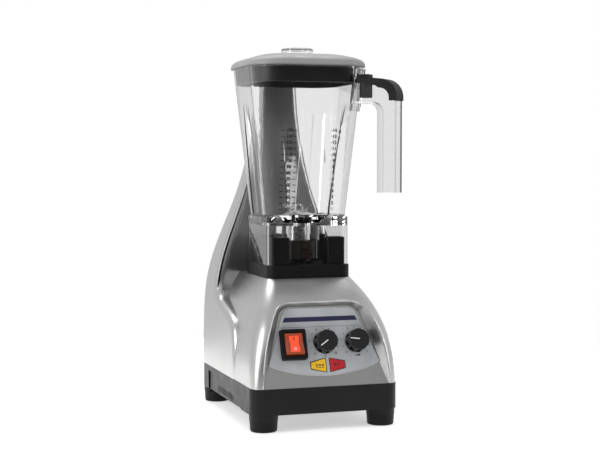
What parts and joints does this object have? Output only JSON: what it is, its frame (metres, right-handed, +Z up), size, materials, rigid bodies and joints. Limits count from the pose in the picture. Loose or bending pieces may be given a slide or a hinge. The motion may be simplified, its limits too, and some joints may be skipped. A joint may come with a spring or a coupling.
{
  "type": "countertop blender",
  "caption": "Countertop blender: silver motor housing with a tower behind a clear square jar, arched control panel with rocker, knobs and keys, side handle, domed lid.",
  "frame": {"origin": "the middle of the bounding box, at the surface that the feet stand on; the drive axis is at X -7.6 mm, Y -15.2 mm", "axes": "+X to the right, +Y to the back, +Z up; the controls face -Y"},
  "size_m": [0.224, 0.2946, 0.516],
  "materials": {
    "silver_shell": "satin metallic",
    "black_plastic": "fine grain",
    "black_rubber": "matt",
    "gloss_black": "glossy",
    "steel": "turned",
    "aluminium": "cast",
    "lamination": "stacked sheets",
    "copper": "enamelled wire",
    "carbon": "pressed carbon",
    "circuit_board": "solder mask",
    "panel_grey": "satin print",
    "rocker_orange": "translucent",
    "key_yellow": "satin",
    "key_red": "satin",
    "clear_jar": "clear polycarbonate"
  },
  "bodies": {
    "base": {"housing": "silver_shell", "tower_back_cover": "silver_shell", "cover_screws": "steel", "base_pan": "black_plastic", "foot_front_left": "black_rubber", "foot_front_right": "black_rubber", "foot_rear_left": "black_rubber", "foot_rear_right": "black_rubber", "underside_screws": "steel", "mains_inlet": "black_plastic", "power_board": "circuit_board", "heat_sink": "aluminium", "jar_pad": "black_rubber", "pad_screws": "steel", "motor_mounts": "black_rubber", "mount_studs": "steel", "motor_top_bracket": "aluminium", "motor_bottom_bracket": "aluminium", "stator_core": "lamination", "field_coils": "copper", "motor_bolts": "steel", "upper_bearing": "steel", "lower_bearing": "steel", "brush_holders": "black_plastic", "carbon_brushes": "carbon", "fan_shroud": "black_plastic", "control_panel": "panel_grey", "switch_bezel": "black_plastic", "switch_body": "black_plastic", "pot_nuts": "steel", "timer_pot": "aluminium", "speed_pot": "aluminium", "control_board": "circuit_board"},
    "drive_train": {"motor_shaft": "steel", "armature_core": "lamination", "armature_windings": "copper", "commutator": "copper", "cooling_fan": "black_plastic", "drive_coupling": "black_plastic"},
    "jar": {"jar_shell": "clear_jar", "jar_handle": "clear_jar", "handle_grip": "black_rubber", "housing_gasket": "black_rubber", "bearing_housing": "steel", "spindle_bearings": "steel", "retainer_nut": "gloss_black"},
    "blade_unit": {"blade_spindle": "steel", "lower_blade": "steel", "upper_blade": "steel", "blade_nut": "steel", "driven_coupling": "black_plastic"},
    "lid": {"lid": "black_rubber"},
    "lid_cap": {"lid_cap": "clear_jar"},
    "rocker": {"rocker": "rocker_orange"},
    "timer_knob": {"timer_knob": "gloss_black", "timer_pot_shaft": "steel"},
    "speed_knob": {"speed_knob": "gloss_black", "speed_pot_shaft": "steel"},
    "manual_key": {"manual_key": "key_yellow"},
    "auto_key": {"auto_key": "key_red"}
  },
  "joints": [
    {"name": "motor_spin", "type": "hinge", "parent": "base", "child": "drive_train", "pos_m": [-0.00761, -0.0152, 0.1], "axis": [0, 0, 1], "continuous": true},
    {"name": "jar_lift", "type": "slide", "parent": "base", "child": "jar", "axis": [0, 0, 1], "range_m": [0, 0.065]},
    {"name": "blade_spin", "type": "hinge", "parent": "jar", "child": "blade_unit", "pos_m": [-0.00761, -0.0152, 0.26], "axis": [0, 0, 1], "continuous": true},
    {"name": "lid_lift", "type": "slide", "parent": "jar", "child": "lid", "axis": [0, 0, 1], "range_m": [0, 0.04]},
    {"name": "cap_lift", "type": "slide", "parent": "lid", "child": "lid_cap", "axis": [0, 0, 1], "range_m": [0, 0.03]},
    {"name": "rocker_tilt", "type": "hinge", "parent": "base", "child": "rocker", "pos_m": [-0.04961, -0.12835, 0.11306], "axis": [1, 0, 0], "range_deg": [0, 16]},
    {"name": "timer_turn", "type": "hinge", "parent": "base", "child": "timer_knob", "pos_m": [-0.00561, -0.12502, 0.11344], "axis": [0, -0.9397, 0.342], "range_deg": [-259, 11]},
    {"name": "speed_turn", "type": "hinge", "parent": "base", "child": "speed_knob", "pos_m": [0.03939, -0.12502, 0.11344], "axis": [0, -0.9397, 0.342], "range_deg": [-217, 53]},
    {"name": "manual_press", "type": "slide", "parent": "base", "child": "manual_key", "axis": [0, 0.9397, -0.342], "range_m": [0, 0.0008], "stiffness_N_per_m": 400},
    {"name": "auto_press", "type": "slide", "parent": "base", "child": "auto_key", "axis": [0, 0.9397, -0.342], "range_m": [0, 0.0008], "stiffness_N_per_m": 400}
  ],
  "couplings": [
    {"joint": "blade_spin", "follows": "motor_spin", "ratio": 1}
  ]
}
